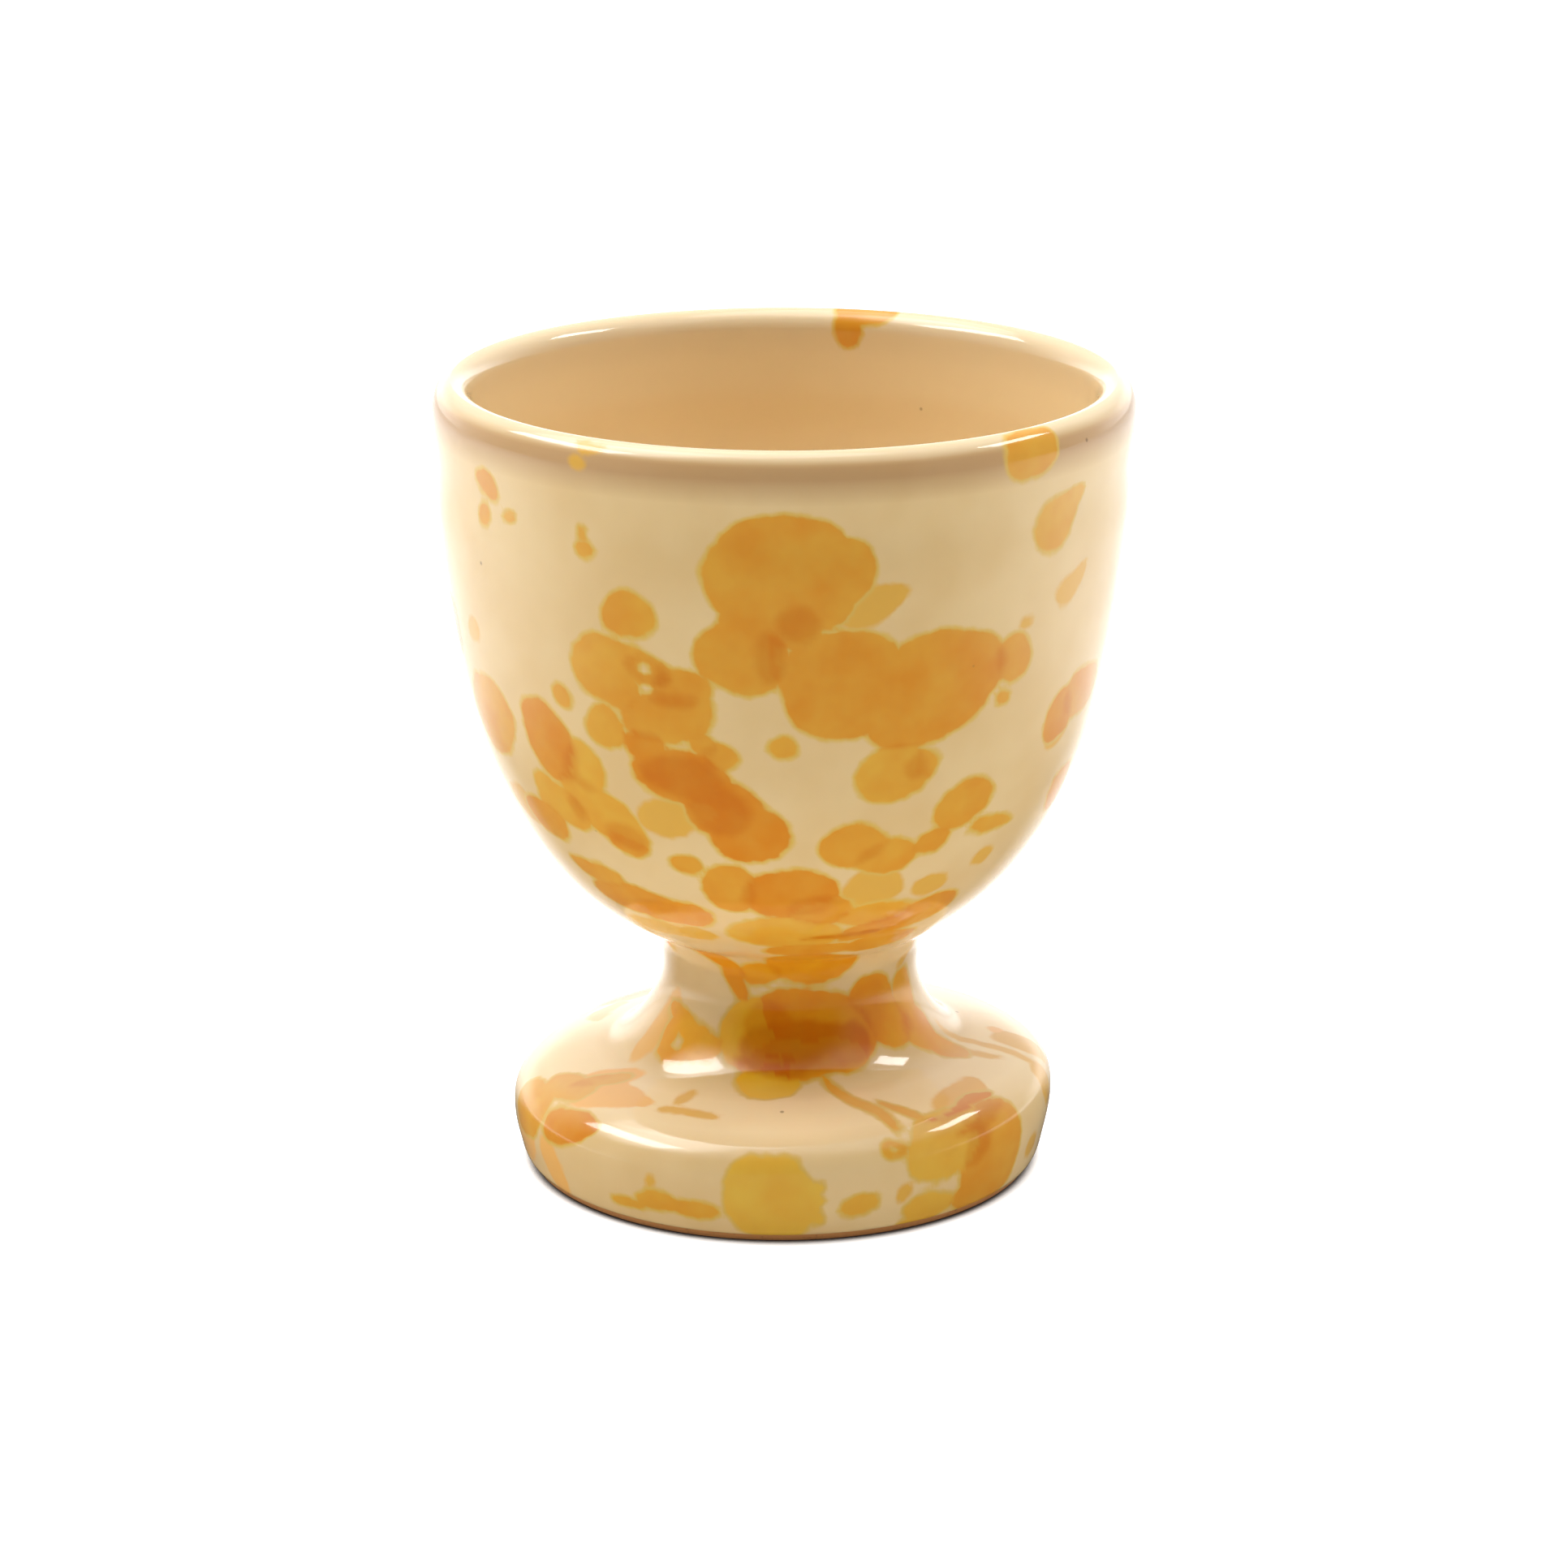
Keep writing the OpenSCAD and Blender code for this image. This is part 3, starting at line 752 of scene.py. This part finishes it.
def table_material(stage):
    """Matt white table of a light tent, seen as white, with the shadow at the foot kept."""
    material, tree, place = new_material("table_matt_white")
    ray = put(tree, "ShaderNodeLightPath").outputs
    near = put(tree, "ShaderNodeAmbientOcclusion", {"Distance": stage.contact_reach}, samples=12).outputs["AO"]
    # gloss shows the table fall off into the dark where the tent opens at the front, and into the cup's own
    # shade by the foot, except behind it
    way = put(tree, "ShaderNodeVectorMath", {0: place}, operation="NORMALIZE").outputs["Vector"]
    back = put(tree, "ShaderNodeSeparateXYZ", {0: way}).outputs["Y"]
    away = put(tree, "ShaderNodeVectorMath", {0: place}, operation="LENGTH").outputs["Value"]
    clear = calc(tree, "MAXIMUM", ease(tree, away, *CLEAR_AWAY), ramp(tree, back, *CLEAR_BACK))
    bright = times(tree, ease(tree, back, *CLEAR_FRONT), clear)
    seen = seen_or_reflected(tree, ray, times(tree, bright, stage.table_gloss))
    glow = times(tree, ease(tree, near, *CONTACT_SHADE), seen, stage.table_glow)
    glow = calc(tree, "MULTIPLY_ADD", ray["Is Diffuse Ray"], stage.table_light, glow)
    dim = times(tree, calc(tree, "SUBTRACT", 1.0, bright), ray["Is Glossy Ray"])
    pale = ramp(tree, dim, 0, 1, *TABLE_PALE)
    # hardly any light comes in right at the foot
    crease = ramp(tree, near, *CREASE_OPEN, *CREASE_LIGHT)
    matt = put(tree, "ShaderNodeBsdfDiffuse", {"Color": times(tree, pale, crease)})
    lit = put(tree, "ShaderNodeEmission", {"Strength": glow})
    both = put(tree, "ShaderNodeAddShader", {0: matt.outputs[0], 1: lit.outputs[0]})
    finish(tree, both)
    return material


def toward(azimuth, elevation):
    """The unit vector that way; azimuth 0 is the front, and 90 the right."""
    a, e = math.radians(azimuth), math.radians(elevation)
    return math.cos(e) * math.sin(a), -math.cos(e) * math.cos(a), math.sin(e)


def tent_world(stage):
    """A white tent: white where it is seen or reflected, dimmer as light, and dark where it opens in front."""
    world = bpy.data.worlds.new("white_tent")
    world.use_nodes = True
    tree = world.node_tree
    tree.nodes.clear()
    ray = put(tree, "ShaderNodeLightPath").outputs
    gloss = ray["Is Glossy Ray"]
    way = put(tree, "ShaderNodeTexCoord").outputs["Generated"]
    parts = put(tree, "ShaderNodeSeparateXYZ", {0: way}).outputs
    side, back, up = parts["X"], parts["Y"], parts["Z"]

    def facing(azimuth, elevation):
        """The cosine of the angle between the way and a point of the tent."""
        return put(tree, "ShaderNodeVectorMath", {0: way, 1: toward(azimuth, elevation)},
                   operation="DOT_PRODUCT").outputs["Value"]

    level = ramp(tree, seen_or_reflected(tree, ray), 0, 1, stage.tent_light, 1.0)
    # the tent's side walls carry the lamps, so gloss shows them brighter than its back
    level = calc(tree, "MULTIPLY_ADD", times(tree, side, side, gloss), stage.side_glow, level)
    # the ceiling lights more than it shows
    ceiling = ease(tree, up, *CEILING_UP, 0, stage.ceiling_light)
    level = calc(tree, "MULTIPLY_ADD", ceiling, ray["Is Diffuse Ray"], level)
    # near the horizon gloss shows the tent's side walls dimmer
    low = times(tree, ease(tree, up, *LOW_UP, 0, LOW_DIM), ramp(tree, back, *LOW_BACK), gloss)
    level = times(tree, level, calc(tree, "SUBTRACT", 1.0, low))
    # gloss shows the back wall bright right over the table, and a soft glow in the cloth round the left lamp
    over_table = times(tree, ease(tree, up, *WALL_UP), ramp(tree, back, *WALL_BACK), stage.back_glow)
    wide, narrow = (math.cos(math.radians(angle)) for angle in HALO_ANGLES)
    halo = ease(tree, facing(*HALO_AT), wide, narrow, 0, stage.lamp_halo)
    level = calc(tree, "MULTIPLY_ADD", calc(tree, "ADD", over_table, halo), gloss, level)
    # the opening is dark for all but the camera
    edge, middle = math.cos(stage.opening_width / 2), facing(0, math.degrees(stage.opening_lift))
    opening = ease(tree, middle, *(edge + shift for shift in OPENING_EDGE))
    hidden = calc(tree, "SUBTRACT", 1.0, ray["Is Camera Ray"])
    dark = times(tree, opening, OPENING_DARK, hidden)
    strength = times(tree, level, calc(tree, "SUBTRACT", 1.0, dark))
    sky = put(tree, "ShaderNodeBackground", {"Color": (1, 1, 1, 1), "Strength": strength})
    put(tree, "ShaderNodeOutputWorld", {"Surface": sky.outputs[0]})
    return world


# Settings that a user may change


def number(name, description, default, unit="NONE", **limits):
    """A number to set, in metres, radians or watts where it has a unit."""
    subtype = {"LENGTH": "DISTANCE", "ROTATION": "ANGLE"}.get(unit, "NONE")
    return FloatProperty(
        name=name, description=description, default=default, unit=unit, subtype=subtype, **limits)


def tint(name, description, default):
    """A colour to set, as sRGB hex."""
    return StringProperty(name=name, description=description, default=default)


class EGGCUP_PG_sizes(bpy.types.PropertyGroup):
    """Sizes of the dressed cup."""
    lean: FloatProperty(
        name="Hand-made lean", description="How much of the lean, tilt and swell that the hand left is used",
        default=1.0, min=0, max=1, subtype="FACTOR")
    edge_wander: number(
        "Edge wander", "How far a splash's edge wanders from an oval", 0.15 * MM, "LENGTH", min=0, max=0.6 * MM)
    steps_round: IntProperty(
        name="Steps round", description="Steps round the axis in the glaze", default=404, min=64, max=512)
    clay_steps: IntProperty(
        name="Clay steps", description="Steps round the axis in the clay", default=160, min=48, max=320)


class EGGCUP_PG_colours(bpy.types.PropertyGroup):
    """Colours of the glaze and the clay."""
    cream: tint("Cream", "Cream glaze", "#E4C288")
    cream_thick: tint("Thick cream", "Cream glaze where it lies thick", "#E9CA93")
    wash: tint("Wash", "Thin wash of amber", "#E3AF4C")
    wash_warm: tint("Warm wash", "Thin wash of amber that leans to orange", "#F3B866")
    edge: tint("Edge", "Thin edge of a splash", "#E0B85A")
    amber_mustard: tint("Mustard", "Amber that leans to mustard", "#E8BC49")
    amber_orange: tint("Orange", "Amber that leans to orange", "#DD8418")
    lap_tint: tint("Lap tint", "What each further coat lets through", "#F6E5CC")
    speck: tint("Speck", "Iron speck", "#5C3B22")
    # partly thin glaze, partly painted shade in the band under the lip
    cream_thin_shaded: tint("Thin cream", "Cream glaze where it breaks thin over the lip", "#BE9365")
    # painted light on the foot's upper face, where it looks up to the lamps
    cream_lit_top: tint("Pooled cream", "Cream glaze where it pools on the foot", "#F8DEB0")
    # painted light and sheen, laid whitish over the foot's upper face
    painted_sheen: tint("Milk", "Milk of the glaze where it pools", "#FFE6BC")
    # painted light: the hollow painted paler and whiter than the same cream outside
    cream_lining_lit: tint("Lining cream", "Cream glaze in the hollow", "#EDD3A4")
    # partly the lapped coats, partly a painted sheen on the crest
    cream_lip_and_sheen: tint("Lip cream", "Cream glaze on the lip, where the two coats lap", "#E6CEA5")
    clay: tint("Clay", "Bare clay", "#CF8F52")
    clay_dark: tint("Dark clay", "Clay in its darker clouds", "#BA7C42")


class EGGCUP_PG_stage(bpy.types.PropertyGroup):
    """Table, tent, lamps and camera."""
    table_width: number("Table width", "Width of the table", 3.0, "LENGTH")
    table_glow: number("Table glow", "How much the table is lifted to white where it is seen", 0.75)
    table_gloss: number("Table in gloss", "How much brighter gloss shows the table beside and behind the cup", 0.75)
    table_light: number("Table light", "How much the table lights the cup beyond what falls on it", 0.22)
    contact_reach: number("Contact reach", "How far from the foot its close shadow reaches", 0.0018, "LENGTH")
    tent_light: number("Tent light", "Strength of the tent as a light", 0.43)
    ceiling_light: number("Ceiling light", "How much brighter the tent's ceiling lights than its walls", 1.3)
    side_glow: number("Side glow", "How much brighter gloss shows the tent's side walls", 0.5)
    back_glow: number("Back glow", "How much brighter gloss shows the tent's back right over the table", 1.0)
    lamp_halo: number("Lamp halo", "How bright gloss shows the cloth round the left lamp", 5.0)
    opening_lift: number(
        "Opening lift", "How far over the horizon the tent's dark opening lies", math.radians(18), "ROTATION")
    opening_width: number("Opening width", "How wide the tent's dark opening is", math.radians(84), "ROTATION")
    left_power: number("Left lamp", "Power of the left soft box", 0.85, "POWER")
    right_power: number("Right lamp", "Power of the right soft box", 0.51, "POWER")
    top_power: number("Top lamp", "Power of the soft box overhead", 1.3, "POWER")
    camera_distance: number("Camera distance", "Distance of the camera from the axis", 0.34297, "LENGTH")
    camera_height: number("Camera height", "Height of the camera over the table", 0.1334, "LENGTH")
    camera_pitch: number("Camera pitch", "How far the camera looks down", math.radians(17.103), "ROTATION")
    camera_lens: number("Camera lens", "Focal length on a 36 mm sensor", 113.42, "CAMERA")
    camera_shift: number("Camera shift", "Shift that the photograph's framing needs", 0.0026)


# Operators: one for each piece or pair of pieces, and one for the stage


def glaze(context):
    """The glaze's material, made once."""
    return bpy.data.materials.get(GLAZE) or glaze_material(context.scene.egg_cup_colours)


class EGGCUP_OT_glaze_coat(bpy.types.Operator):
    """Coats the outside, from the lip's crest to the wiped foot"""
    bl_idname = "egg_cup.glaze_coat"
    bl_label = "Glaze coat"

    def execute(self, context):
        _, outside, stem, _ = clay_lines(GLAZE_STEP)
        # the glaze bridges the crease, so the points in it are left out
        clay = joined(outside, stem[3:])
        seam = np.array([SEAM_D / 2, SEAM_Z])
        clay = clay[np.linalg.norm(clay - seam, axis=1) > CREASE_GAP]
        clay = clay[clay[:, 1] > GLAZE_END_Z]
        way = runs(clay)
        left = np.clip((way[-1] - way) / GLAZE_TAPER, 0, 1)
        skin = glazed(clay, GLAZE_T * np.sqrt(1 - (1 - left) ** 2), first=(0, 1))
        skin[:, 0] = np.minimum(skin[:, 0], RIM_D / 2 - BOX_MARGIN)
        skin = filled(skin, seam, CREASE_FILL)
        run = runs(skin)
        inner = clay[:-1][::-COAT_EVERY]
        inner = np.vstack([inner, clay[:1]]) if not np.allclose(inner[-1], clay[0]) else inner
        run = np.r_[run, np.full(len(inner), run[-1])]
        dress(context, "glaze_coat", glaze(context), np.vstack([skin, inner]), run,
              splashed=True, ring_closed=True)
        return {"FINISHED"}


class EGGCUP_OT_glaze_lining(bpy.types.Operator):
    """Lines the hollow with glaze, up to the lip's crest"""
    bl_idname = "egg_cup.glaze_lining"
    bl_label = "Glaze lining"

    def execute(self, context):
        hollow, _, _, _ = clay_lines(GLAZE_STEP)
        skin = glazed(hollow, GLAZE_T, first=(0, 1), last=(0, 1))
        run = runs(skin)
        outline = np.vstack([skin, hollow[::-LINING_EVERY], hollow[:1]])
        run = np.r_[run - run[-1], np.full(len(outline) - len(run), -run[-1])]
        dress(context, "glaze_lining", glaze(context), outline, run, splashed=True)
        return {"FINISHED"}


class EGGCUP_OT_clay(bpy.types.Operator):
    """Makes the bowl and the pedestal under the glaze"""
    bl_idname = "egg_cup.clay"
    bl_label = "Clay body"

    def execute(self, context):
        material = clay_material(context.scene.egg_cup_colours)
        hollow, outside, stem, under = clay_lines(CLAY_STEP)
        bowl = joined(hollow, outside, [[0, SEAM_Z]])
        foot = joined([[0, SEAM_Z - SLIP_T]], stem, under)
        for node, line in (("bowl", bowl), ("pedestal", foot)):
            dress(context, node, material, line, runs(line))
        return {"FINISHED"}


class EGGCUP_OT_slip(bpy.types.Operator):
    """Makes the slip that joins the bowl and the pedestal"""
    bl_idname = "egg_cup.slip"
    bl_label = "Luting slip"

    def execute(self, context):
        r, low = SEAM_D / 2 - GLAZE_T, SEAM_Z - SLIP_T
        line = np.array([[0, SEAM_Z], [r / 2, SEAM_Z], [r, SEAM_Z], [r, low], [r / 2, low], [0, low]])
        dress(context, "luting_slip", slip_material(context.scene.egg_cup_colours), line, runs(line))
        return {"FINISHED"}


class EGGCUP_OT_stage(bpy.types.Operator):
    """Sets the table, the tent, the lamps and the camera"""
    bl_idname = "egg_cup.stage"
    bl_label = "Stage"

    def execute(self, context):
        scene, stage = context.scene, context.scene.egg_cup_stage
        half = stage.table_width / 2
        top = bpy.data.meshes.new("table")
        corners = (-half, -half, 0), (half, -half, 0), (half, half, 0), (-half, half, 0)
        top.from_pydata(corners, [], [(0, 1, 2, 3)])
        top.materials.append(table_material(stage))
        table = add("table", top)
        scene.world = tent_world(stage)
        powers = stage.left_power, stage.right_power, stage.top_power
        for (name, azimuth, elevation, roll, distance, size), power in zip(LAMPS, powers):
            lamp = bpy.data.lights.new(name, "AREA")
            lamp.shape, lamp.size, lamp.size_y, lamp.energy = "RECTANGLE", *size, power
            box = add(name, lamp)
            box.location = distance * Vector(toward(azimuth, elevation)) + Vector((0, 0, AIM_HEIGHT))
            aim = Euler((math.radians(90 - elevation), 0, math.radians(azimuth))).to_matrix()
            aim = aim @ Matrix.Rotation(math.radians(roll), 3, "Z")
            box.rotation_euler = aim.to_euler()
        lens = bpy.data.cameras.new("camera")
        lens.lens, lens.sensor_width, lens.shift_y = stage.camera_lens, 36, stage.camera_shift
        lens.clip_start, lens.clip_end = 0.01, 20
        camera = add("camera", lens)
        camera.location = (0, -stage.camera_distance, stage.camera_height)
        camera.rotation_euler = (math.pi / 2 - stage.camera_pitch, 0, 0)
        scene.camera = camera
        scene.view_settings.view_transform = "Standard"
        return {"FINISHED"}


class EGGCUP_PT_panel(bpy.types.Panel):
    """Lists the cup's pieces and settings"""
    bl_idname = "EGGCUP_PT_panel"
    bl_label = "Egg cup"
    bl_space_type = "VIEW_3D"
    bl_region_type = "UI"
    bl_category = "Egg cup"

    def draw(self, context):
        for group in GROUPS:
            held = getattr(context.scene, group)
            box = self.layout.box()
            for name in held.__annotations__:
                box.prop(held, name)
        for operator in OPERATORS:
            self.layout.operator(operator.bl_idname)


GROUPS = {"egg_cup_sizes": EGGCUP_PG_sizes, "egg_cup_colours": EGGCUP_PG_colours,
          "egg_cup_stage": EGGCUP_PG_stage}
OPERATORS = EGGCUP_OT_clay, EGGCUP_OT_slip, EGGCUP_OT_glaze_lining, EGGCUP_OT_glaze_coat, EGGCUP_OT_stage
CLASSES = *GROUPS.values(), *OPERATORS, EGGCUP_PT_panel


def register():
    """Registers the classes and hangs the settings on the scene."""
    for cls in CLASSES:
        bpy.utils.register_class(cls)
    for name, group in GROUPS.items():
        setattr(bpy.types.Scene, name, PointerProperty(type=group))


def unregister():
    """Takes the settings and the classes away again."""
    for name in GROUPS:
        delattr(bpy.types.Scene, name)
    for cls in reversed(CLASSES):
        bpy.utils.unregister_class(cls)


def main():
    """Makes every piece and the stage."""
    register()
    bpy.ops.egg_cup.clay()
    bpy.ops.egg_cup.slip()
    bpy.ops.egg_cup.glaze_lining()
    bpy.ops.egg_cup.glaze_coat()
    bpy.ops.egg_cup.stage()
    bpy.context.view_layer.update()


if __name__ == "__main__":
    main()
